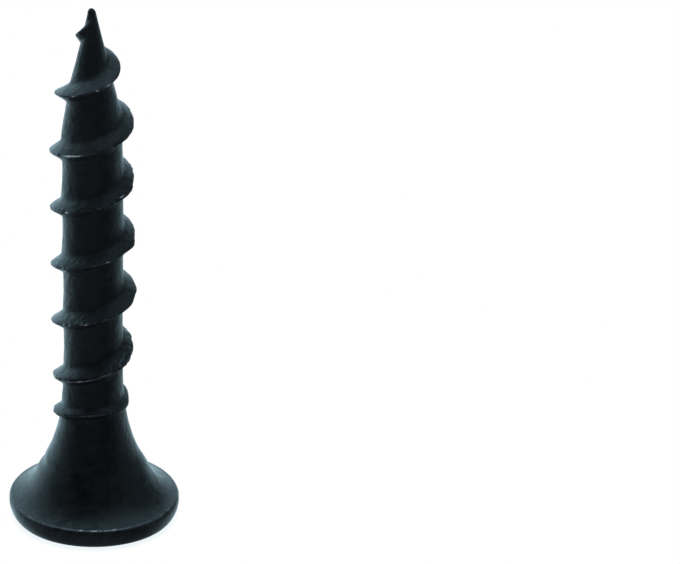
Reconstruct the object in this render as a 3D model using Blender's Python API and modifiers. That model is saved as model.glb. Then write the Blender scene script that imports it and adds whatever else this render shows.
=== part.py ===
"""Coarse-thread self-tapping wood screw, standing on its head.

One piece of hardened steel: a bugle head with a cross recess, a shank that
carries one right-hand coarse thread, and a gimlet point.

Units are metres and +Z runs along the axis, towards the point. The origin is
the centre of the head's flat face, which is the face the screw stands on.
"""

import math

import bmesh
import bpy
from mathutils import Vector

MM = 0.001

# Driving dimensions of the blank
LENGTH = 25.4 * MM  # head face to the tip of the point
HEAD_RADIUS = 3.88 * MM
RIM_HEIGHT = 0.97 * MM  # head face to the crease where the flare starts
RIM_CROWN = 0.07 * MM  # how far the rim swells outside its crease
FACE_EDGE_RADIUS = 0.54 * MM  # rounding between the head face and the rim
BUGLE_HEIGHT = 6.9 * MM  # head face to where the flare has become the shank
CORE_RADIUS = 1.34 * MM
POINT_LENGTH = 5.9 * MM  # cone at the end of the shank
POINT_BULGE = 0.12 * MM  # how far the cone's side swells outside a straight line
TIP_RADIUS = 0.14 * MM  # rounding of the tip

# Driving dimensions of the thread
PITCH = 2.82 * MM
THREAD_HEIGHT = 0.54 * MM  # crest above the core
CREST_WIDTH = 0.08 * MM
POINT_FLANK = 0.42 * MM  # axial width of the flank that faces the point
HEAD_FLANK = 0.41 * MM  # axial width of the flank that faces the head
THREAD_END_HEIGHT = 5.03 * MM  # crest height where the thread has run out
THREAD_END_AZIMUTH = math.radians(0)
THREAD_START_GAP = 0.55 * MM  # from the tip back to the thread's first edge
RUN_OUT_TURNS = 2.4  # over which the thread dies away by the head
RUN_OUT_POWER = 0.3  # below 1, it keeps its height and then drops quickly
LEAD_IN_TURNS = 0.95  # over which the thread grows at the point
CLOSED_LEAD = 0.15  # lead of the run-out, as a share of the pitch
OPENING_STARTS = 0.4  # turns from the thread's end to where its lead starts to open
OPENING_TURNS = 1.0  # turns that the lead takes to open to the full pitch

# Driving dimensions of the cross recess
RECESS_SPAN = 4.55 * MM  # across two opposite wings, at the head face
RECESS_WING_WIDTH = 0.95 * MM  # at the head face
RECESS_NOSE_RADIUS = 0.7 * MM  # rounding of the four corners between the wings
RECESS_DEPTH = 2.5 * MM
RECESS_FLOOR_SPAN = 2.2 * MM  # across two opposite wings, at the floor
RECESS_FLOOR_WING_WIDTH = 0.8 * MM
RECESS_FLOOR_NOSE_RADIUS = 0.3 * MM
RECESS_CONE_DEPTH = 0.35 * MM  # from the recess floor down to its centre
RECESS_TURN = math.radians(20)  # the wings' angle about the axis

# Fineness of the mesh
TURN_STEPS = 48
EDGE_STEPS = 4
RIM_STEPS = 3
FLARE_STEPS = 16
POINT_STEPS = 8
NOSE_STEPS = 5
TIP_STEPS = 3

# Allowances for the joins
ROOT_SINK = 0.12 * MM  # the thread's foot lies this far inside the core
CUT_MARGIN = 0.2 * MM  # the recess cutter stands this far out of the head face
MERGE = 0.0001 * MM

SHARP_ANGLE = math.radians(32)


def bezier(a, b, c, d, t):
    """The point at t on the cubic through a and d, with handles b and c."""
    u = 1 - t
    return u**3 * a + 3 * u * u * t * b + 3 * u * t * t * c + t**3 * d


def rim_points():
    """(radius, height) from the head face, round its edge and up to the crease."""
    edge_centre = Vector((HEAD_RADIUS - FACE_EDGE_RADIUS, FACE_EDGE_RADIUS))
    points = []
    for i in range(EDGE_STEPS + 1):
        angle = 0.5 * math.pi * i / EDGE_STEPS
        outward = Vector((math.sin(angle), -math.cos(angle)))
        points.append(edge_centre + FACE_EDGE_RADIUS * outward)
    for i in range(1, RIM_STEPS + 1):
        share = i / RIM_STEPS
        height = FACE_EDGE_RADIUS + (RIM_HEIGHT - FACE_EDGE_RADIUS) * share
        points.append(Vector((HEAD_RADIUS - RIM_CROWN * share**2, height)))
    return points


def flare_points():
    """(radius, height) up the bugle flare, from the rim's crease to the shank."""
    crease = Vector((HEAD_RADIUS - RIM_CROWN, RIM_HEIGHT))
    shank = Vector((CORE_RADIUS, BUGLE_HEIGHT))
    reach = crease.x - shank.x
    rise = shank.y - crease.y
    over_rim = crease + Vector((-0.59 * reach, 0.063 * rise))
    along_shank = shank - Vector((0, 0.43 * rise))
    return [
        bezier(crease, over_rim, along_shank, shank, i / FLARE_STEPS)
        for i in range(1, FLARE_STEPS + 1)
    ]


def point_radius(height):
    """Radius of the shank and its gimlet point at a height above the head face."""
    share = (height - (LENGTH - POINT_LENGTH)) / POINT_LENGTH
    share = min(max(share, 0.0), 1.0)
    straight = CORE_RADIUS + (TIP_RADIUS - CORE_RADIUS) * share
    return straight + 4 * POINT_BULGE * share * (1 - share) ** 2


def blank_outline():
    """(radius, height) of the unthreaded screw, from the head face to the tip."""
    outline = [Vector((0, 0))]
    outline.extend(rim_points())
    outline.extend(flare_points())
    shoulder = LENGTH - POINT_LENGTH
    for i in range(POINT_STEPS):
        height = shoulder + (POINT_LENGTH - TIP_RADIUS) * i / POINT_STEPS
        outline.append(Vector((point_radius(height), height)))
    for i in range(TIP_STEPS + 1):
        angle = 0.5 * math.pi * i / TIP_STEPS
        height = LENGTH - TIP_RADIUS * (1 - math.sin(angle))
        outline.append(Vector((TIP_RADIUS * math.cos(angle), height)))
    return outline


def turned_blank(collection):
    """The blank as a profile turned about the axis."""
    mesh = bpy.data.meshes.new("screw")
    outline = blank_outline()
    outline.reverse()
    vertices = [(point.x, 0, point.y) for point in outline]
    edges = [(i, i + 1) for i in range(len(vertices) - 1)]
    mesh.from_pydata(vertices, edges, [])
    blank = bpy.data.objects.new("screw", mesh)
    collection.objects.link(blank)
    turn = blank.modifiers.new("turn", "SCREW")
    turn.axis = "Z"
    turn.angle = 2 * math.pi
    turn.steps = TURN_STEPS
    turn.render_steps = TURN_STEPS
    turn.use_merge_vertices = True
    turn.merge_threshold = MERGE
    return blank


def thread_height(turn):
    """Height of the crest, a number of turns on from the thread's end by the head.

    The lead is small at first, opens smoothly, and then stays at the pitch.
    """
    share = min(max((turn - OPENING_STARTS) / OPENING_TURNS, 0.0), 1.0)
    opened = OPENING_TURNS * (share**3 - share**4 / 2)
    opened += max(turn - OPENING_STARTS - OPENING_TURNS, 0.0)
    climbed = CLOSED_LEAD * turn + (1 - CLOSED_LEAD) * opened
    return THREAD_END_HEIGHT + PITCH * climbed


def thread_turns():
    """Turns from the thread's end by the head to its first edge at the point."""
    open_from = OPENING_STARTS + OPENING_TURNS
    climb = LENGTH - THREAD_START_GAP - thread_height(open_from)
    return open_from + climb / PITCH


def thread_scale(turn):
    """Size of the thread's section at a turn, as a share of the full section."""
    by_head = min(turn / RUN_OUT_TURNS, 1.0)
    by_point = min((thread_turns() - turn) / LEAD_IN_TURNS, 1.0)
    return max(min(by_head**RUN_OUT_POWER, math.sqrt(max(by_point, 0.0))), 0.08)


def thread_section(collection):
    """The thread's cross-section as a closed curve, with X pointing outward.

    Each flank is hollow: it leaves the core at a slant and steepens to the crest.
    """
    waist = ROOT_SINK + 0.4 * THREAD_HEIGHT
    crest = ROOT_SINK + THREAD_HEIGHT
    half_crest = CREST_WIDTH / 2
    corners = [
        (0, -HEAD_FLANK - half_crest),
        (waist, -0.44 * HEAD_FLANK - half_crest),
        (crest, -half_crest),
        (crest, half_crest),
        (waist, 0.44 * POINT_FLANK + half_crest),
        (0, POINT_FLANK + half_crest),
        (-ROOT_SINK, 0),
    ]
    curve = bpy.data.curves.new("thread_section", "CURVE")
    curve.dimensions = "2D"
    spline = curve.splines.new("POLY")
    spline.points.add(len(corners) - 1)
    for point, (outward, along) in zip(spline.points, corners):
        point.co = (outward, along, 0, 1)
    spline.use_cyclic_u = True
    section = bpy.data.objects.new("thread_section", curve)
    section.hide_render = True
    collection.objects.link(section)
    return section


def thread_sweep(section, collection):
    """The thread as its section swept along a helix that follows the core."""
    curve = bpy.data.curves.new("thread_path", "CURVE")
    curve.dimensions = "3D"
    curve.twist_mode = "Z_UP"
    curve.bevel_mode = "OBJECT"
    curve.bevel_object = section
    curve.use_fill_caps = True
    turns = thread_turns()
    steps = round(turns * TURN_STEPS)
    spline = curve.splines.new("POLY")
    spline.points.add(steps)
    for i, point in enumerate(spline.points):
        turn = turns * i / steps
        angle = THREAD_END_AZIMUTH + 2 * math.pi * turn
        height = thread_height(turn)
        scale = thread_scale(turn)
        radius = point_radius(height) - ROOT_SINK * scale
        point.co = (radius * math.cos(angle), radius * math.sin(angle), height, 1)
        point.radius = scale
    path = bpy.data.objects.new("thread_path", curve)
    collection.objects.link(path)
    return path


def as_mesh(path, name, collection):
    """A swept curve made a closed mesh object, in the curve's place."""
    bpy.context.view_layer.update()
    evaluated = path.evaluated_get(bpy.context.evaluated_depsgraph_get())
    mesh = bpy.data.meshes.new_from_object(evaluated)
    mesh.name = name
    form = bmesh.new()
    form.from_mesh(mesh)
    bmesh.ops.remove_doubles(form, verts=form.verts, dist=MERGE)
    bmesh.ops.recalc_face_normals(form, faces=form.faces)
    form.to_mesh(mesh)
    form.free()
    made = bpy.data.objects.new(name, mesh)
    made.matrix_world = path.matrix_world
    collection.objects.link(made)
    bpy.data.objects.remove(path)
    return made


def turned_about_axis(point, angle):
    """A point in the plane across the axis, turned about the axis."""
    return Vector(
        (
            point.x * math.cos(angle) - point.y * math.sin(angle),
            point.x * math.sin(angle) + point.y * math.cos(angle),
        )
    )


def cross_outline(span, wing_width, nose_radius):
    """The recess's outline across the axis: four wings with rounded noses between."""
    reach = span / 2
    half = wing_width / 2
    nose_centre = Vector((half + nose_radius, half + nose_radius))
    quarter = [Vector((reach, -half)), Vector((reach, half))]
    for i in range(NOSE_STEPS + 1):
        angle = -0.5 * math.pi * (1 + i / NOSE_STEPS)
        toward_axis = Vector((math.cos(angle), math.sin(angle)))
        quarter.append(nose_centre + nose_radius * toward_axis)
    return [
        turned_about_axis(point, RECESS_TURN + 0.5 * math.pi * wing)
        for wing in range(4)
        for point in quarter
    ]


def recess_cutter(collection):
    """The cross recess as a solid: a loft between two crosses, with a conical floor."""
    at_face = cross_outline(RECESS_SPAN, RECESS_WING_WIDTH, RECESS_NOSE_RADIUS)
    at_floor = cross_outline(
        RECESS_FLOOR_SPAN, RECESS_FLOOR_WING_WIDTH, RECESS_FLOOR_NOSE_RADIUS
    )
    form = bmesh.new()
    rings = []
    for height in (-CUT_MARGIN, RECESS_DEPTH):
        share = height / RECESS_DEPTH
        ring = [
            form.verts.new((*face.lerp(floor, share), height))
            for face, floor in zip(at_face, at_floor)
        ]
        rings.append(ring)
    centre = form.verts.new((0, 0, RECESS_DEPTH + RECESS_CONE_DEPTH))
    outer, inner = rings
    form.faces.new(outer)
    for i in range(len(outer)):
        j = (i + 1) % len(outer)
        form.faces.new((outer[i], outer[j], inner[j], inner[i]))
        form.faces.new((inner[i], inner[j], centre))
    bmesh.ops.recalc_face_normals(form, faces=form.faces)
    mesh = bpy.data.meshes.new("recess")
    form.to_mesh(mesh)
    form.free()
    cutter = bpy.data.objects.new("recess", mesh)
    collection.objects.link(cutter)
    return cutter


def join_or_cut(body, other, operation):
    """A Boolean on the body with another object, which is then only a helper."""
    change = body.modifiers.new(other.name, "BOOLEAN")
    change.operation = operation
    change.solver = "EXACT"
    change.object = other
    other.hide_render = True
    other.display_type = "WIRE"


def settle(body):
    """The body's modifiers made its mesh, shaded smooth between its real edges."""
    bpy.context.view_layer.update()
    evaluated = body.evaluated_get(bpy.context.evaluated_depsgraph_get())
    mesh = bpy.data.meshes.new_from_object(evaluated)
    mesh.name = body.name
    body.modifiers.clear()
    body.data = mesh
    mesh.shade_smooth()
    mesh.set_sharp_from_angle(angle=SHARP_ANGLE)


def black_phosphate():
    """Dull blue-black phosphate coating on steel."""
    material = bpy.data.materials.new("black_phosphate")
    material.use_nodes = True
    shader = material.node_tree.nodes["Principled BSDF"]
    shader.inputs["Base Color"].default_value = (0.016, 0.02, 0.023, 1)
    shader.inputs["Metallic"].default_value = 0.4
    shader.inputs["Roughness"].default_value = 0.45
    return material


def new_collection(name):
    collection = bpy.data.collections.new(name)
    bpy.context.scene.collection.children.link(collection)
    return collection


def main():
    for leftover in list(bpy.data.objects):
        bpy.data.objects.remove(leftover)
    parts = new_collection("self_tapping_screw")
    helpers = new_collection("helpers")
    body = turned_blank(parts)
    path = thread_sweep(thread_section(helpers), helpers)
    thread = as_mesh(path, "thread", helpers)
    join_or_cut(body, thread, "UNION")
    join_or_cut(body, recess_cutter(helpers), "DIFFERENCE")
    settle(body)
    body.data.materials.clear()
    body.data.materials.append(black_phosphate())


main()
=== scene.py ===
"""The looks of a coarse-thread self-tapping wood screw that stands on its head.

The CAD solid is replaced by one finer skin of the same form: the thread's flanks
run into the core with fillets, its crest is worn and nicked, and the recess has
rounded edges. A procedural material gives it its blue-black phosphate coating.

Lengths are in millimetres where nothing else is said. Turns count along the thread
from its end by the head, which lies in the direction +X from the axis.
"""

import math

import bpy
import numpy as np
from mathutils import Matrix, Vector, noise

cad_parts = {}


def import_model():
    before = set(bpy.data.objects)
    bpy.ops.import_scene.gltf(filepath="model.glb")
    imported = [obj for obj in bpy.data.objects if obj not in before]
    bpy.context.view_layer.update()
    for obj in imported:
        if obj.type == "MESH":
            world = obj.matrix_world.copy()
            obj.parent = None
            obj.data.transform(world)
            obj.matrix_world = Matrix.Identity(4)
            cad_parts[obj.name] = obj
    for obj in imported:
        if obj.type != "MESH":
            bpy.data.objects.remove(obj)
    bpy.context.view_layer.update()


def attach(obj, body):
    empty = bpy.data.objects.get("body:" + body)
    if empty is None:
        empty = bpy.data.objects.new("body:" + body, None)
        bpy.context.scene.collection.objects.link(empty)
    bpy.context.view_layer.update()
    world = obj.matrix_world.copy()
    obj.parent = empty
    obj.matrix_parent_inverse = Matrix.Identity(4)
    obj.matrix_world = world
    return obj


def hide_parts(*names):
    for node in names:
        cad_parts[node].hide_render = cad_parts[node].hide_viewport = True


MM = 0.001  # in metres

# The blank: the CAD solid's, but for the rim's height and crown and the tip's lean
LENGTH = 25.4
HEAD_RADIUS = 3.88
RIM_HEIGHT = 1.02  # of the crease between the rim and the flare
RIM_CROWN = 0.075
RIM_WIDEST = 0.8  # height at which the rim is widest
CREASE_RADIUS = 0.04
FACE_EDGE_RADIUS = 0.54
BUGLE_HEIGHT = 6.9
CORE_RADIUS = 1.34
POINT_LENGTH = 5.9
POINT_BULGE = 0.12
TIP_RADIUS = 0.14
TIP_LEAN = 0.025  # to the left
BOX_MARGIN = 0.001  # the head keeps this far inside the CAD solid's box

# The thread
PITCH = 2.82
THREAD_HEIGHT = 0.54
CREST_HALF = 0.03
CREST_HALF_AT_HEAD = 0.075
FLANK_WIDTH = 0.43
STEP_RISE = 0.014  # of a faint step in the flank
FOOT_FILLET = 0.06  # at the thread's foot, on the side of the point
LEFT_FOOT_FILLET = 0.055  # added to it where the foot faces left
FOOT_FILLET_REACH = 0.85
UNDER_FILLET = 0.03  # on the side of the head
UNDER_FILLET_REACH = 0.55
SCUFF_DEPTH = 0.035
SCUFF_DENSITY = 7  # per millimetre
THREAD_END_HEIGHT = 5.03
THREAD_START_GAP = 0.55
CLOSED_LEAD = 0.15  # lead at the thread's end, as a share of the pitch
OPENING_STARTS = 0.4  # turn at which the lead starts to open to the full pitch
OPENING_TURNS = 1.0
LEAD_PAST_END = 0.8  # of the grid's lines, below the thread's end by the head
FACES_LEFT = 0.5  # part of a turn
FACES_FRONT = 0.7  # part of a turn, a little to the left of the middle

# The cross recess
RECESS_SPAN = 4.55
RECESS_WING_WIDTH = 0.95
RECESS_NOSE_RADIUS = 0.7
RECESS_DEPTH = 2.5
RECESS_FLOOR_SPAN = 2.2
RECESS_FLOOR_WING_WIDTH = 0.8
RECESS_FLOOR_NOSE_RADIUS = 0.3
RECESS_CONE_DEPTH = 0.35
RECESS_BOTTOM = RECESS_DEPTH + RECESS_CONE_DEPTH
RECESS_TURN = math.radians(20)
RECESS_FILLET = 0.05
WING_CORNER = 0.09

# The skin's mesh
AROUND = 240  # points round the axis
STRIP_LOW = 3.6  # the thread's grid lies between these heights
STRIP_HIGH = 25.12
TURNS = -3 + np.arange(12 * AROUND + 1) / AROUND
COLUMNS = len(TURNS) - AROUND
# The grid's lines, from a crest to halfway to the next
FROM_CREST = np.array(
    [0, 0.018, 0.034, 0.05, 0.085, 0.125, 0.17, 0.215, 0.26, 0.31, 0.37]
    + [0.44, 0.53, 0.68, 0.95, 1.41]
)
ANGLES = 2 * math.pi * np.arange(AROUND) / AROUND
SHARP_ANGLE = math.radians(38)
NO_CHIP = 9  # a height that no chip reaches

# Radius of the crest: (turn, radius)
CREST = np.array(
    [
        (0.0, 1.45), (0.06, 1.5), (0.25, 1.61), (0.43, 1.68), (0.455, 1.73),
        (0.48, 1.82), (0.51, 1.82), (0.55, 1.76), (0.65, 1.64), (0.85, 1.61),
        (0.945, 1.63), (1.0, 1.59), (1.03, 1.595), (1.07, 1.64), (1.25, 1.74),
        (1.43, 1.81), (1.47, 1.88), (1.494, 1.84), (1.525, 1.8), (1.56, 1.84),
        (1.75, 1.86), (1.9, 1.885), (1.926, 1.87), (1.948, 1.77), (1.985, 1.81),
        (2.02, 1.765), (2.056, 1.835), (2.25, 1.84), (2.465, 1.88), (2.5, 1.9),
        (2.576, 1.93), (2.75, 1.91), (2.92, 1.975), (2.955, 1.925), (3.005, 1.975),
        (3.046, 1.92), (3.08, 1.965), (3.25, 1.9), (3.475, 1.915), (3.54, 1.92),
        (3.6, 1.95), (3.75, 1.91), (3.9, 1.9), (3.94, 2.0), (3.975, 1.925),
        (4.0, 1.917), (4.05, 1.925), (4.09, 1.955), (4.25, 1.92), (4.45, 1.96),
        (4.525, 1.93), (4.575, 1.95), (4.68, 1.94), (4.71, 1.78), (4.76, 1.88),
        (4.83, 1.92), (4.85, 1.83), (4.87, 1.93), (4.94, 1.93), (4.97, 1.845),
        (5.0, 1.838), (5.035, 1.88), (5.06, 1.92), (5.11, 1.99), (5.17, 1.96),
        (5.25, 1.93), (5.45, 1.98), (5.5, 1.925), (5.534, 1.905), (5.6, 1.95),
        (5.75, 1.9), (5.82, 1.9), (5.84, 1.81), (5.86, 1.9), (5.95, 1.89), (6.0, 1.853),
        (6.04, 1.855), (6.11, 1.92), (6.17, 1.89), (6.25, 1.83), (6.45, 1.75),
        (6.5, 1.71), (6.52, 1.68), (6.58, 1.66), (6.75, 1.49), (6.775, 1.47),
        (6.79, 1.41), (6.81, 1.44), (6.95, 1.31), (7.0, 1.255), (7.05, 1.218),
        (7.25, 1.0), (7.42, 0.8), (7.5, 0.73), (7.58, 0.64), (7.68, 0.42), (7.8, 0.27),
    ]
)

# Bumps along the thread: (turn, half length in turns, amount)
CREST_OFF_HELIX = ((7.54, 0.17, 0.11), (0.74, 0.18, 0.36), (6.5, 0.1, 0.05))
NICKED_CREST = (
    (2.05, 0.25, 0.05), (3.8, 0.1, 0.03), (4.63, 0.06, 0.04), (1.4, 0.25, 0.03),
    (5.0, 0.2, 0.03), (0.8, 0.3, -0.01),
)
WORN_CREST = (
    (0.74, 0.06, 0.25), (0.92, 0.03, 0.4), (1.62, 0.015, 0.4), (1.8, 0.03, 0.3),
    (1.93, 0.02, 0.4), (2.3, 0.02, 0.5), (2.715, 0.02, 0.3), (2.79, 0.01, 0.35),
    (3.2, 0.02, 0.5), (3.8, 0.015, 0.35), (4.35, 0.03, 0.5), (4.605, 0.01, 0.5),
    (4.645, 0.012, 0.6), (4.9, 0.022, 0.3), (5.3, 0.02, 0.6), (5.668, 0.035, 1.2),
    (6.2, 0.03, 0.6), (6.66, 0.012, 0.7), (6.775, 0.007, 0.9), (6.84, 0.022, 0.6),
    (7.2, 0.02, 0.5),
)
SCUFFS = (
    (2.02, 0.1, 0.8), (1.87, 0.07, 0.8), (3.03, 0.06, 0.6), (1.5, 0.04, 0.5),
    (5.0, 0.08, 0.4), (3.6, 0.15, 1.0), (2.65, 0.16, 0.7), (4.56, 0.1, 0.7),
    (5.6, 0.1, 0.5),
)
THICK_FOOT = ((0.45, 0.3, 0.04), (5.7, 0.9, 0.045))

# Bumps up the blank: (height, half height, amount)
FLARE_SWELL = ((2.4, 0.7, 0.085),)
SHANK_SWELL = ((15.5, 3.5, 0.025),)
LEFT_BULGES = ((3.2, 1.5, 0.055), (6.2, 0.5, 0.05))

# Bumps round the rim: (angle, half angle, amount), in radians
OUT_OF_ROUND = ((-0.7, 0.5, 0.075), (-2.4, 0.45, 0.045))

# Wear: at low levels the coating is rubbed lighter, and at high ones it is gone. The
# extra on the flanks facing left is painted light, and the extra on the crease's front a
# painted highlight
CREST_WEAR = 0.26
CREST_WEAR_RIPPLE = 0.42
CREST_WEAR_HALF = 0.042
SCUFF_WEAR = 1.5
MOST_SCUFF_WEAR = 0.42
FLANK_WEAR = 0.18
# painted light: the flanks facing left are made lighter
LEFT_FLANK_PAINTED_LIGHT = 0.2
TIP_WEAR = 0.12
FLARE_FOOT_WEAR = 0.26
CREASE_WEAR = 0.22
# painted highlight: the crease made lighter on its front
CREASE_PAINTED_HIGHLIGHT = 0.43
RIM_WEAR = 0.2
MOUTH_WEAR = 0.3

# Colours, linear
COATING_DARK = (0.004, 0.0036, 0.0042, 1)
COATING_LIGHT = (0.0145, 0.0138, 0.0145, 1)
COATING_TINT = (0.76, 0.95, 1.0, 1)
HANDLED = (0.052, 0.06, 0.062, 1)
DUSTY = (0.045, 0.054, 0.057, 1)
RUBBED_AND_PAINTED_LIGHT = (0.13, 0.155, 0.165, 1)
BARE_STEEL = (0.74, 0.78, 0.8, 1)
FAINT_SHADOW = (0.86, 0.92, 0.94, 1)
WHITE = (1.0, 1.0, 1.0, 1)
LIGHT_BEHIND = (0.69, 1.0, 1.14, 1)
LIGHT_IN_FRONT = (0.93, 0.96, 1.14, 1)

# The coating's gloss and relief
COATING_IOR = 1.3
RELIEF_STRENGTH = 0.9
RELIEF_DEPTH = 0.00007  # in metres

# Soft lights round the screw: (azimuth from behind, elevation, spread, strength)
SOFT_LIGHTS = (
    (-20, 5, 70, 1.39),
    (-40, 15, 90, 0.49),
    (20, -27, 35, 0.72),
    (-25, -27, 35, 0.3),
    (60, -27, 35, 0.6),
    (100, 15, 35, 0.36),
    (90, 75, 35, 1.45),
    (-140, -60, 70, 0.25),
    (180, -27, 40, 0.15),
)
EVEN_LIGHT = 0.06
FULL_SPREAD = 0.3  # share of a light's spread that has its full strength

# The floor, in metres
FLOOR_LEVEL = -0.02 * MM
FLOOR_REACH = 1.5
SHADOW_REACH = 0.00034

# The photographed view, in metres
LENS = 409.233
AIM = Vector((0.0111632, 0.0, 0.0117144))
CAMERA_AZIMUTH = math.radians(2.045)
CAMERA_ELEVATION = math.radians(26.838)
CAMERA_ROLL = math.radians(0.6504)
CAMERA_DISTANCE = 0.349726


# Curves


def bump_at(x, centre, half):
    """A smooth bump of height 1; it falls to 0.37 at half from its centre."""
    return np.exp(-(((x - centre) / half) ** 2))


def bumps(x, table):
    """The sum of a table's bumps: (where, half length, amount)."""
    return sum(amount * bump_at(x, centre, half) for centre, half, amount in table)


def smooth(low, high, x):
    """0 at low to 1 at high, smoothly; low may also be the larger of the two."""
    share = np.clip((x - low) / (high - low), 0, 1)
    return share * share * (3 - 2 * share)


def ripple(x, seed, octaves=3):
    """Smooth noise between about -1 and 1 along a line of values."""
    y, z = seed * 7.31, seed * 3.77
    values = [noise.fractal(Vector((v, y, z)), 0.6, 2.0, octaves) for v in np.ravel(x)]
    return np.array(values).reshape(np.shape(x))


def noise_at(x, y, z):
    """Smooth noise between about -1 and 1 at points in space."""
    return np.array([noise.noise(Vector(point)) for point in zip(x, y, z)])


def direction(azimuth, elevation):
    """Unit vector; the azimuth turns from +Y, away from the camera, towards +X."""
    level = math.cos(elevation)
    return Vector(
        (math.sin(azimuth) * level, math.cos(azimuth) * level, math.sin(elevation))
    )


# The blank


def flare_table():
    """(heights, radii) up the bugle flare, from the rim's crease to the shank."""
    t = np.linspace(0, 1, 400)[:, None]
    crease = np.array([HEAD_RADIUS - RIM_CROWN, RIM_HEIGHT])
    shank = np.array([CORE_RADIUS, BUGLE_HEIGHT])
    reach, rise = crease[0] - shank[0], shank[1] - crease[1]
    over_rim = crease + np.array([-0.59 * reach, 0.063 * rise])
    along = shank - np.array([0, 0.43 * rise])
    curve = (
        (1 - t) ** 3 * crease
        + 3 * (1 - t) ** 2 * t * over_rim
        + 3 * (1 - t) * t**2 * along
        + t**3 * shank
    )
    return curve[:, 1], curve[:, 0] + bumps(curve[:, 1], FLARE_SWELL)


FLARE_HEIGHTS, FLARE_RADII = flare_table()


def point_radius(height):
    """Radius of the shank and its gimlet point at heights above the head face."""
    share = np.clip((height - (LENGTH - POINT_LENGTH)) / POINT_LENGTH, 0, 1)
    straight = CORE_RADIUS + (TIP_RADIUS - CORE_RADIUS) * share
    return straight + 4 * POINT_BULGE * share * (1 - share) ** 2


def blank_radius(height):
    """Radius of the screw without its thread, from the crease to the point."""
    flare = np.interp(height, FLARE_HEIGHTS, FLARE_RADII)
    shank = point_radius(height) + bumps(height, SHANK_SWELL)
    return np.where(height < BUGLE_HEIGHT, flare, shank)


# The thread


def helix_height(turn):
    """Height of the thread's helix, whose lead closes towards its end by the head."""
    share = np.clip((turn - OPENING_STARTS) / OPENING_TURNS, 0, 1)
    opened = OPENING_TURNS * (share**3 - share**4 / 2)
    opened = opened + np.maximum(turn - OPENING_STARTS - OPENING_TURNS, 0)
    climbed = CLOSED_LEAD * turn + (1 - CLOSED_LEAD) * opened
    return THREAD_END_HEIGHT + PITCH * climbed


def last_turn():
    """Turns from the thread's end by the head to its first edge at the point."""
    open_from = OPENING_STARTS + OPENING_TURNS
    climb = LENGTH - THREAD_START_GAP - helix_height(open_from)
    return float(open_from + climb / PITCH)


def crest_height(turns):
    """Height of the crest, which wanders off its helix; it goes on past both ends."""
    past_end = THREAD_END_HEIGHT + LEAD_PAST_END * turns
    on_helix = np.where(turns < 0, past_end, helix_height(turns))
    wander = 0.02 * ripple(turns * 1.7, 5.5, 2) + bumps(turns, CREST_OFF_HELIX)
    in_front = bump_at(turns % 1, FACES_FRONT, 0.17) * smooth(2.9, 3.3, turns)
    wander = wander + (0.06 - 0.02 * smooth(5, 6, turns)) * in_front
    return on_helix + wander * smooth(0, 0.4, turns)


def crest_radius(turns):
    """(radius of the whole crest, depth of its nicks) at evenly spaced turns."""
    worn = np.interp(turns, CREST[:, 0], CREST[:, 1])
    whole = worn
    # The whole crest bridges short dips, and is then smoothed
    for reach, blend in ((12, np.max), (12, np.min), (5, np.mean)):
        padded = np.pad(whole, reach, "edge")
        windows = np.lib.stride_tricks.sliding_window_view(padded, 2 * reach + 1)
        whole = blend(windows, axis=1)
    whole = np.maximum(whole, worn)
    rough = 0.03 + bumps(turns, NICKED_CREST)
    nicks = np.clip(ripple(turns * 17, 3.1) * 1.9 - 0.2, 0, 1)
    small = np.clip(ripple(turns * 52, 4.4, 2) * 1.6 - 0.1, 0, 1)
    small = 0.025 * small * smooth(1.0, 1.4, turns)
    return whole, whole - worn + rough * nicks + small


def crest_half(turns):
    """Half the crest's width: by the head the crest is blunt, with a groove in it."""
    blunt = smooth(0.0, 0.4, turns) * (1 - smooth(2.0, 2.7, turns))
    return CREST_HALF + (CREST_HALF_AT_HEAD - CREST_HALF) * blunt


def flank_share(turns, rise):
    """Width of the flanks, as a share of a full flank's."""
    share = np.clip(rise / THREAD_HEIGHT, 0.05, 1.1) ** 0.75
    share = np.maximum(share, 0.8 * smooth(7.1, 7.4, turns) * (rise > 0.02))
    return share + 0.1 * bump_at(turns, 5.75, 0.6) * (rise > 0.02)


def flank(distance, rise, share, half):
    """Height of a flank above the core, at a distance along the axis from the crest.

    The flank is slightly hollow and has a faint step in it.
    """
    x = np.clip((distance - half) / (FLANK_WIDTH * share), 0, 1)
    step = STEP_RISE * bump_at(x, 0.2, 0.05) * (x < 1)
    groove = 0.9 * (half - CREST_HALF) * bump_at(distance, 0, 0.022)
    straight = np.sqrt((1 - x) ** 2 + 0.02 * x) - 0.1414 * x
    return rise * straight + (step - groove) * share


def at_lower(values):
    """Values by turn, for the crest that each of the grid's columns starts at."""
    return values[:COLUMNS, None]


def at_upper(values):
    """Values by turn, for the crest that each column ends at, one turn on."""
    return values[AROUND:, None]


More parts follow.
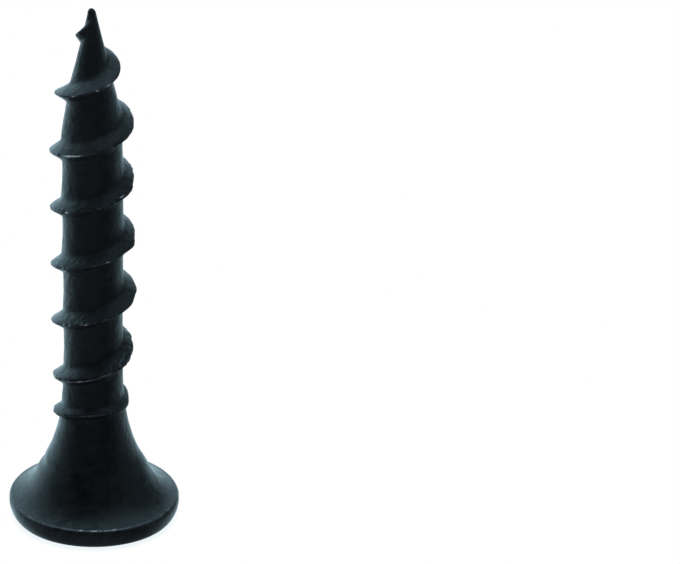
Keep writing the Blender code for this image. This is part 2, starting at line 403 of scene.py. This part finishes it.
def thread_lift(rise, nicks, above, below):
    """How far the thread and its fillets stand out of the blank.

    Above is the height above the lower crest, and below the depth under the upper.
    """
    share, half = flank_share(TURNS, rise), crest_half(TURNS)
    lift = flank(above, at_lower(rise), at_lower(share), at_lower(half))
    lift = lift + flank(below, at_upper(rise), at_upper(share), at_upper(half))
    chip = np.where(rise > 0.05, np.maximum(rise - nicks, 0), NO_CHIP)
    chip_above = np.where(above < 0.2, at_lower(chip) + 0.15 * above, NO_CHIP)
    chip_below = np.where(below < 0.2, at_upper(chip), NO_CHIP)
    lift = np.minimum(np.minimum(lift, chip_above), chip_below)

    before_point = 1 - smooth(6.2, 7.0, TURNS)
    foot = FOOT_FILLET * smooth(2.6, 3.6, TURNS) * before_point
    foot = foot + bumps(TURNS, THICK_FOOT)
    on_the_left = bump_at(TURNS % 1, FACES_LEFT, 0.12) * smooth(1.0, 1.4, TURNS)
    foot = foot + LEFT_FOOT_FILLET * on_the_left * (1 - 0.9 * smooth(4.9, 5.2, TURNS))
    near_foot = bump_at(above, 0, FOOT_FILLET_REACH)
    near_foot = near_foot * smooth(0, 0.4, above) * smooth(0, 0.3, below)
    under = UNDER_FILLET * smooth(0.3, 1.0, TURNS) * before_point
    near_under = bump_at(below, 0, UNDER_FILLET_REACH) * smooth(0, 0.3, below)
    return lift + at_lower(foot) * near_foot + at_upper(under) * near_under


def thread_wear(rise, scuffed, above, below):
    """Wear along the crest, in the scuffs, on the handled flanks and under a lip; the
    flanks facing left also get painted light that makes them lighter still.
    """
    bright = CREST_WEAR + CREST_WEAR_RIPPLE * np.clip(ripple(TURNS * 55, 8.2, 2), 0, 1)
    bright = (bright + bumps(TURNS, WORN_CREST)) * np.clip(rise / 0.25, 0, 1)
    worn = bump_at(above, 0, CREST_WEAR_HALF) * at_lower(bright)
    worn = worn + bump_at(below, 0, CREST_WEAR_HALF) * at_upper(bright)
    worn = worn + np.minimum(SCUFF_WEAR * scuffed, MOST_SCUFF_WEAR)
    patch = 0.9 * bump_at(TURNS, 4.875, 0.016)
    worn = worn + at_lower(patch) * bump_at(above, 0.085, 0.025)
    lightened = FLANK_WEAR + 0.11 * smooth(5.5, 6.4, TURNS) * np.clip(rise / 0.3, 0, 1)
    # Painted light: the flanks facing left are made lighter, on top of their wear
    on_the_left = bump_at(TURNS % 1, FACES_LEFT, 0.12) * smooth(6.2, 5.8, TURNS)
    lightened = at_lower((lightened + LEFT_FLANK_PAINTED_LIGHT * on_the_left) * (rise > 0.05))
    lightened = lightened * smooth(0.0, 0.06, above) * smooth(0.55, 0.3, above)
    lip = bump_at(TURNS, 1.7, 0.14)
    return np.maximum(worn, lightened) + at_upper(lip) * bump_at(below, 0.075, 0.025)


# The skin


class Skin:
    """Vertices, faces and wear of the screw's surface, as it is put together; the wear
    also carries painted light on the left flanks and a painted highlight on the crease's
    front.
    """

    def __init__(self):
        self.points = []
        self.wear_and_painted_light = []
        self.faces = []

    def ring(self, points, wear_and_painted_light=0.0):
        """Adds one ring of points and returns the number of its first one."""
        first = len(self.points)
        self.points.extend(np.asarray(points).tolist())
        self.wear_and_painted_light.extend(np.broadcast_to(wear_and_painted_light, (len(points),)).tolist())
        return first

    def join(self, upper, lower):
        """Faces between two rings, the upper or outer one first."""
        for j in range(AROUND):
            k = (j + 1) % AROUND
            self.faces.append((lower + j, lower + k, upper + k, upper + j))

    def below(self, ring, points, wear_and_painted_light=0.0):
        """Adds a ring below or inside another one and joins it to that."""
        added = self.ring(points, wear_and_painted_light)
        self.join(ring, added)
        return added

    def close(self, ring, point, upward):
        """A fan from a ring to one point."""
        centre = self.ring([point])
        for j in range(AROUND):
            k = (j + 1) % AROUND
            fan = (ring + j, ring + k, centre) if upward else (centre, ring + k, ring + j)
            self.faces.append(fan)


def at_height(flat, height):
    """A ring of points from their places across the axis."""
    return np.column_stack([flat, np.full(AROUND, height)])


def circle(radius, height):
    """One ring of points about the axis; the radius may vary round it."""
    radius = np.broadcast_to(radius, (AROUND,))
    flat = np.stack([radius * np.cos(ANGLES), radius * np.sin(ANGLES)], 1)
    return at_height(flat, height)


def thread_strip(skin):
    """The threaded stretch as one long strip wound round the shank.

    Each column of the strip runs from the crest to the same crest one turn on, so
    the strip's long edges meet each other. At both ends it is cut off level.
    """
    crest = crest_height(TURNS)
    radius, nicks = crest_radius(TURNS)
    on_thread = (TURNS >= 0) & (TURNS <= last_turn())
    rise = np.where(on_thread, np.maximum(radius - blank_radius(crest), 0), 0)

    near = FROM_CREST / FROM_CREST[-1] / 2
    shares = np.concatenate([near, 1 - near[-2:0:-1]])
    low, high = at_lower(crest), at_upper(crest)
    height = low + (high - low) * shares
    above = np.maximum(height - low, 0)
    below = np.maximum(high - height, 0)
    level = np.clip(height, STRIP_LOW, STRIP_HIGH)
    surface = blank_radius(level) + thread_lift(rise, nicks, above, below)

    cos = at_lower(np.cos(2 * math.pi * TURNS))
    sin = at_lower(np.sin(2 * math.pi * TURNS))
    scuffed = at_lower(bumps(TURNS, SCUFFS)) * smooth(0.5, 0.25, above)
    marked = scuffed > 0.03
    marks = np.zeros(height.shape)
    places = SCUFF_DENSITY * np.stack([surface * cos, surface * sin, level])
    marks[marked] = noise_at(*places[:, marked])
    surface = surface + SCUFF_DEPTH * scuffed * marks
    # Besides wear, this carries painted light on the flanks facing left
    worn = thread_wear(rise, scuffed * np.clip(marks - 0.05, 0, 1), above, below)

    lower_ring = skin.ring(circle(blank_radius(STRIP_LOW), STRIP_LOW))
    upper_ring = skin.ring(circle(blank_radius(STRIP_HIGH), STRIP_HIGH))
    free = (height > STRIP_LOW) & (height < STRIP_HIGH)
    points = np.stack([surface * cos, surface * sin, level], -1)[free]
    first = skin.ring(points, worn[free])
    number = np.full(height.shape, -1)
    number[free] = first + np.arange(len(points))
    column = np.arange(COLUMNS)[:, None] % AROUND
    number = np.where(height <= STRIP_LOW, lower_ring + column, number)
    number = np.where(height >= STRIP_HIGH, upper_ring + column, number)

    past = upper_ring + np.arange(1, AROUND + 1) % AROUND
    first_line = np.concatenate([number[:, 0], past])
    next_line = np.concatenate([number[:, 1:], first_line[AROUND:, None]], 1)
    corners = [number[:-1], number[1:], next_line[1:], next_line[:-1]]
    # Where the strip is cut off level, corners run together and are counted once
    for quad in np.stack(corners, -1).reshape(-1, 4).tolist():
        face = tuple(v for n, v in enumerate(quad) if v != quad[n - 1])
        if len(face) > 2:
            skin.faces.append(face)
    return lower_ring, upper_ring


def point_end(skin, ring):
    """The blunt end of the gimlet point."""
    neck = float(blank_radius(STRIP_HIGH))
    for n in range(1, 8):
        angle = 0.5 * math.pi * n / 8
        radius = neck * math.cos(angle) ** 1.2
        height = STRIP_HIGH + (LENGTH - STRIP_HIGH) * math.sin(angle)
        leaning = circle(radius, height) - [TIP_LEAN * math.sin(angle), 0, 0]
        following = skin.ring(leaning, TIP_WEAR)
        skin.join(following, ring)
        ring = following
    skin.close(ring, (-TIP_LEAN, 0, LENGTH), True)


def head(skin, ring):
    """The bugle flare, the rim and the face's rounded edge."""
    low = int(np.searchsorted(FLARE_HEIGHTS, STRIP_LOW))
    for n in np.linspace(low, 0, 28)[1:-1].round().astype(int):
        height = FLARE_HEIGHTS[n]
        worn = FLARE_FOOT_WEAR * smooth(RIM_HEIGHT + 0.6, RIM_HEIGHT + 0.05, height)
        uneven = 0.006 * ripple(ANGLES * 6, 2.0 + n * 0.01, 2)
        ring = skin.below(ring, circle(FLARE_RADII[n] + uneven, height), worn)
    # Painted highlight: on its front the crease is made lighter, in dashes, on top of its
    # wear
    in_front = bump_at(np.cos(ANGLES), 0.03, 0.8) * (np.sin(ANGLES) < 0)
    worn = CREASE_WEAR + CREASE_PAINTED_HIGHLIGHT * in_front
    worn = worn + (0.1 + 0.1 * in_front) * ripple(ANGLES * 22, 6.1)
    for degrees in (8, 32, 56, 80):
        angle = math.radians(degrees)
        radius = HEAD_RADIUS - RIM_CROWN - CREASE_RADIUS * (1 - math.sin(angle))
        height = RIM_HEIGHT - CREASE_RADIUS * (1 - math.cos(angle)) + 0.01
        ring = skin.below(ring, circle(radius, height), worn)
    for share in (0.75, 0.45, 0.2):
        radius = HEAD_RADIUS - RIM_CROWN * share**2
        height = RIM_WIDEST + (RIM_HEIGHT - RIM_WIDEST) * share
        ring = skin.below(ring, circle(radius, height), RIM_WEAR)
    for n in range(15):
        angle = 0.5 * math.pi * n / 14
        radius = HEAD_RADIUS - FACE_EDGE_RADIUS + FACE_EDGE_RADIUS * math.cos(angle)
        height = RIM_WIDEST * (1 - math.sin(angle))
        ring = skin.below(ring, circle(radius, height), RIM_WEAR)
    return ring


def cross_outline(span, wing_width, nose_radius):
    """The recess across the axis, as AROUND points in step with the rings."""
    reach, half, corner = span / 2, wing_width / 2, WING_CORNER
    nose = half + nose_radius

    def arc(cx, cy, radius, start, end, count):
        turn = np.radians(np.linspace(start, end, count, endpoint=False))
        return np.stack([cx + radius * np.cos(turn), cy + radius * np.sin(turn)], 1)

    def straight(x0, y0, x1, y1, count):
        t = np.linspace(0, 1, count, endpoint=False)[:, None]
        return np.array([[x0, y0]]) * (1 - t) + np.array([[x1, y1]]) * t

    end, bend, turned = 8, 5, 26  # points in each stretch; the sides take the rest
    side = (AROUND // 4 - end - 2 * bend - turned) // 2
    quarter = np.concatenate(
        [
            straight(reach, -half + corner, reach, half - corner, end),
            arc(reach - corner, half - corner, corner, 0, 90, bend),
            straight(reach - corner, half, nose, half, side),
            arc(nose, nose, nose_radius, 270, 180, turned),
            straight(half, nose, half, reach - corner, side),
            arc(half - corner, reach - corner, corner, 0, 90, bend),
        ]
    )
    outline = []
    for wing in range(4):
        turn = RECESS_TURN + 0.5 * math.pi * wing
        cos, sin = math.cos(turn), math.sin(turn)
        outline.append(quarter @ np.array([[cos, sin], [-sin, cos]]))
    steps = round(RECESS_TURN / (2 * math.pi) * AROUND) - end // 2
    return np.roll(np.concatenate(outline), steps, axis=0)


def recess(skin, ring):
    """The flat of the face, and the cross recess in it down to its conical floor."""
    edge = circle(HEAD_RADIUS - FACE_EDGE_RADIUS, 0)
    mouth = cross_outline(
        RECESS_SPAN + 2 * RECESS_FILLET,
        RECESS_WING_WIDTH + 2 * RECESS_FILLET,
        RECESS_NOSE_RADIUS - RECESS_FILLET,
    )
    for share in (0.25, 0.5, 0.75, 1.0):
        across = edge + (at_height(mouth, 0) - edge) * share
        ring = skin.below(ring, across, MOUTH_WEAR if share == 1 else 0)
    at_face = cross_outline(RECESS_SPAN, RECESS_WING_WIDTH, RECESS_NOSE_RADIUS)
    at_floor = cross_outline(
        RECESS_FLOOR_SPAN, RECESS_FLOOR_WING_WIDTH, RECESS_FLOOR_NOSE_RADIUS
    )
    wall = []
    for n in (1, 2, 3):
        angle = 0.5 * math.pi * n / 3
        flat = at_face + (mouth - at_face) * (1 - math.sin(angle))
        wall.append((flat, RECESS_FILLET * (1 - math.cos(angle))))
    for share in (0.1, 0.25, 0.4, 0.55, 0.7, 0.85, 0.95, 1.0):
        flat = at_face + (at_floor - at_face) * share
        wall.append((flat, RECESS_FILLET + (RECESS_DEPTH - RECESS_FILLET) * share))
    for share in (0.85, 0.55, 0.25):
        wall.append((at_floor * share, RECESS_DEPTH + RECESS_CONE_DEPTH * (1 - share)))
    for flat, height in wall:
        ring = skin.below(ring, at_height(flat, height))
    skin.close(ring, (0, 0, RECESS_BOTTOM), False)


def uneven_surface(points):
    """The points pushed along the radius, because forging leaves no true circles.

    There are shallow waves, bulges on the left and a head that is out of round.
    """
    pushed = points.copy()
    moved = (points[:, 2] >= 0.02) & (np.hypot(points[:, 0], points[:, 1]) >= 0.25)
    x, y, z = points[moved].T
    flat = np.hypot(x, y)
    wave = noise_at(0.9 * x, 0.9 * y, 0.55 * z)
    grain = noise_at(3.1 * x + 9, 3.1 * y, 2.3 * z)
    rough = 0.005 + 0.009 * np.clip((z - 5) / 2, 0, 1)
    bulge = bumps(z, LEFT_BULGES) * np.maximum(-x / flat, 0) ** 2
    in_recess = (z < RECESS_BOTTOM) & (flat < 2.4)
    push = np.where(in_recess, 0, 0.012 * wave + rough * grain + bulge)
    push = push * np.clip(z / 0.5, 0, 1)
    on_rim = smooth(2.6, 3.4, flat) * smooth(1.7, 1.1, z)
    push = push + bumps(np.arctan2(y, x), OUT_OF_ROUND) * on_rim
    pushed[moved, :2] *= (1 + push / flat)[:, None]
    return pushed


def placed(name, data):
    """A new object in the scene that shows the data."""
    made = bpy.data.objects.new(name, data)
    bpy.context.scene.collection.objects.link(made)
    return made


def screw_skin():
    """The whole skin as one object, in metres."""
    skin = Skin()
    lower, upper = thread_strip(skin)
    point_end(skin, upper)
    recess(skin, head(skin, lower))
    points = uneven_surface(np.array(skin.points))
    limit = HEAD_RADIUS - BOX_MARGIN
    points[:, :2] = np.clip(points[:, :2], -limit, limit)
    points[:, 2] = np.clip(points[:, 2], 0, LENGTH)
    mesh = bpy.data.meshes.new("screw_skin")
    mesh.from_pydata((points * MM).tolist(), [], skin.faces)
    # The wear attribute also holds painted light: lighter left flanks and the crease's
    # painted highlight
    wear_and_painted_light = mesh.attributes.new("wear_and_painted_light", "FLOAT", "POINT")
    wear_and_painted_light.data.foreach_set("value", np.array(skin.wear_and_painted_light, dtype=np.float32))
    mesh.validate()
    mesh.shade_smooth()
    mesh.set_sharp_from_angle(angle=SHARP_ANGLE)
    return placed("screw_skin", mesh)


# Materials


class Graph:
    """A node tree and short ways to add to it; i0 names a node's first input."""

    def __init__(self, tree):
        self.tree = tree
        tree.nodes.clear()

    def add(self, kind, settings=None, **inputs):
        node = self.tree.nodes.new(kind)
        for name, value in (settings or {}).items():
            setattr(node, name, value)
        for name, value in inputs.items():
            numbered = name[0] == "i" and name[1:].isdigit()
            socket = node.inputs[int(name[1:]) if numbered else name.replace("_", " ")]
            if isinstance(value, bpy.types.NodeSocket):
                self.tree.links.new(value, socket)
            else:
                socket.default_value = value
        return node

    def math(self, operation, a, b=0.0, clamp=False):
        settings = {"operation": operation, "use_clamp": clamp}
        return self.add("ShaderNodeMath", settings, i0=a, i1=b).outputs[0]

    def plus(self, a, b):
        return self.math("ADD", a, b)

    def times(self, a, b):
        return self.math("MULTIPLY", a, b)

    def vectors(self, operation, **inputs):
        return self.add("ShaderNodeVectorMath", {"operation": operation}, **inputs)

    def blend(self, factor, a, b):
        settings = {"data_type": "RGBA"}
        return self.add("ShaderNodeMix", settings, i0=factor, i6=a, i7=b).outputs[2]

    def remap(self, value, low, high, to_low=0.0, to_high=1.0):
        settings = {"interpolation_type": "SMOOTHSTEP"}
        inputs = {"i0": value, "i1": low, "i2": high, "i3": to_low, "i4": to_high}
        return self.add("ShaderNodeMapRange", settings, **inputs).outputs[0]

    def noise(self, place, scale, detail, roughness=0.55):
        return self.add(
            "ShaderNodeTexNoise",
            Vector=place,
            Scale=scale,
            Detail=detail,
            Roughness=roughness,
            Distortion=0.0,
        ).outputs[0]


def black_phosphate():
    """Blue-black phosphate coating on steel, worn to bright metal at the edges."""
    material = bpy.data.materials.new("black_phosphate")
    material.use_nodes = True
    graph = Graph(material.node_tree)
    place = graph.add("ShaderNodeTexCoord").outputs["Object"]
    scaled = graph.vectors("SCALE", Vector=place, Scale=1 / MM).outputs[0]
    broad = graph.noise(scaled, 0.55, 3.0)
    mottle = graph.noise(scaled, 2.0, 5.0, 0.6)
    grain = graph.noise(scaled, 11.0, 3.0, 0.6)
    pits = graph.noise(scaled, 5.0, 2.0, 0.5)
    crystals = graph.noise(scaled, 38.0, 2.0, 0.5)
    level = graph.vectors("MULTIPLY", i0=scaled, i1=(0.9, 0.9, 9.0)).outputs[0]
    rolled = graph.noise(level, 1.0, 3.0, 0.6)
    height = graph.add("ShaderNodeSeparateXYZ", Vector=scaled).outputs["Z"]

    tone = graph.plus(graph.times(broad, 0.5), graph.times(mottle, 0.5))
    coating = graph.blend(graph.remap(tone, 0.36, 0.64), COATING_DARK, COATING_LIGHT)
    lightened = graph.times(graph.remap(height, 3.0, 26.0), 0.2)
    coating = graph.blend(lightened, coating, HANDLED)
    dusty = graph.times(graph.remap(grain, 0.58, 0.76), 0.4)
    coating = graph.blend(dusty, coating, DUSTY)
    lines = graph.times(graph.remap(rolled, 0.5, 0.75), 0.16)
    coating = graph.blend(lines, coating, DUSTY)

    # Wear and painted light arrive together: low levels lighten the coating, which also
    # paints the light on the left flanks and the highlight on the crease's front
    wear_and_painted_light = graph.add("ShaderNodeAttribute", {"attribute_name": "wear_and_painted_light"}).outputs["Fac"]
    chips = graph.plus(graph.times(mottle, 0.7), graph.times(grain, 0.5))
    bared_and_painted_light = graph.times(wear_and_painted_light, chips)
    rubbed_and_painted_light = graph.remap(bared_and_painted_light, 0.08, 0.4)
    worn = graph.remap(bared_and_painted_light, 0.37, 0.5)
    colour = graph.blend(worn, graph.blend(rubbed_and_painted_light, coating, RUBBED_AND_PAINTED_LIGHT), BARE_STEEL)

    rough = graph.plus(0.22, graph.times(mottle, 0.4))
    rough = graph.math("SUBTRACT", rough, graph.times(worn, 0.1))
    relief = broad
    layers = ((mottle, 0.6), (pits, 0.45), (grain, 0.3), (crystals, 0.12), (rolled, 0.16))
    for layer, depth in layers:
        relief = graph.plus(relief, graph.times(layer, depth))
    relief = graph.times(relief, graph.remap(height, 3.0, 6.5, 0.35, 1.0))
    bump = graph.add(
        "ShaderNodeBump", Strength=RELIEF_STRENGTH, Distance=RELIEF_DEPTH, Height=relief
    )
    shader = graph.add(
        "ShaderNodeBsdfPrincipled",
        Base_Color=colour,
        Metallic=worn,
        Roughness=rough,
        IOR=COATING_IOR,
        Specular_Tint=COATING_TINT,
        Normal=bump.outputs[0],
    )
    graph.add("ShaderNodeOutputMaterial", Surface=shader.outputs[0])
    return material


def white_floor():
    """Pure white to the camera, but for the faint shadow where the head stands.

    Other rays pass through it to the studio's light below, as a white floor returns it.
    """
    material = bpy.data.materials.new("white_floor")
    material.use_nodes = True
    graph = Graph(material.node_tree)
    settings = {"samples": 16}
    nearness = graph.add("ShaderNodeAmbientOcclusion", settings, Distance=SHADOW_REACH)
    shade = graph.remap(nearness.outputs["AO"], 0.3, 0.85)
    colour = graph.blend(shade, FAINT_SHADOW, WHITE)
    seen = graph.add("ShaderNodeEmission", Color=colour, Strength=1.0).outputs[0]
    unseen = graph.add("ShaderNodeBsdfTransparent").outputs[0]
    ray = graph.add("ShaderNodeLightPath").outputs["Is Camera Ray"]
    below = graph.add("ShaderNodeNewGeometry").outputs["Backfacing"]
    shown = graph.math("SUBTRACT", ray, below, clamp=True)
    mixed = graph.add("ShaderNodeMixShader", i0=shown, i1=unseen, i2=seen).outputs[0]
    graph.add("ShaderNodeOutputMaterial", Surface=mixed)
    return material


# Stage


def floor():
    """A white floor just under the head's face."""
    mesh = bpy.data.meshes.new("floor")
    corners = [(-1, -1), (1, -1), (1, 1), (-1, 1)]
    points = [(FLOOR_REACH * x, FLOOR_REACH * y, FLOOR_LEVEL) for x, y in corners]
    mesh.from_pydata(points, [], [(0, 1, 2, 3)])
    mesh.materials.append(white_floor())
    return placed("floor", mesh)


def surroundings():
    """White to the camera; the light comes from above, behind and the sides."""
    world = bpy.data.worlds.new("studio")
    world.use_nodes = True
    bpy.context.scene.world = world
    graph = Graph(world.node_tree)
    seen_at = graph.add("ShaderNodeTexCoord").outputs["Generated"]
    strength = EVEN_LIGHT
    for azimuth, elevation, spread, power in SOFT_LIGHTS:
        centre = direction(math.radians(azimuth), math.radians(elevation))
        facing = graph.vectors("DOT_PRODUCT", i0=seen_at, i1=centre).outputs["Value"]
        low = math.cos(math.radians(spread))
        high = math.cos(math.radians(FULL_SPREAD * spread))
        strength = graph.plus(graph.remap(facing, low, high, 0.0, power), strength)
    depth = graph.add("ShaderNodeSeparateXYZ", Vector=seen_at).outputs["Y"]
    colour = graph.blend(graph.remap(depth, -0.6, 0.2), LIGHT_IN_FRONT, LIGHT_BEHIND)
    lit = graph.add("ShaderNodeBackground", Color=colour, Strength=strength).outputs[0]
    seen = graph.add("ShaderNodeBackground", Color=WHITE, Strength=1.0).outputs[0]
    ray = graph.add("ShaderNodeLightPath").outputs["Is Camera Ray"]
    mixed = graph.add("ShaderNodeMixShader", i0=ray, i1=lit, i2=seen).outputs[0]
    graph.add("ShaderNodeOutputWorld", Surface=mixed)


def camera():
    """The camera of the photographed view."""
    data = bpy.data.cameras.new("camera")
    data.lens = LENS
    data.sensor_width = 36.0
    data.clip_start = 0.01
    data.clip_end = 100.0
    made = placed("camera", data)
    ahead = direction(CAMERA_AZIMUTH, -CAMERA_ELEVATION)
    right = ahead.cross(Vector((0, 0, 1))).normalized()
    up = right.cross(ahead)
    cos, sin = math.cos(CAMERA_ROLL), math.sin(CAMERA_ROLL)
    right, up = right * cos + up * sin, up * cos - right * sin
    turn = Matrix((right, up, -ahead)).transposed()
    made.matrix_world = Matrix.Translation(AIM - ahead * CAMERA_DISTANCE) @ turn.to_4x4()
    bpy.context.scene.camera = made


def main():
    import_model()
    skin = screw_skin()
    skin.data.materials.append(black_phosphate())
    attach(skin, "root")
    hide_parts("screw")
    floor()
    surroundings()
    camera()
    bpy.context.scene.view_settings.view_transform = "Standard"


main()
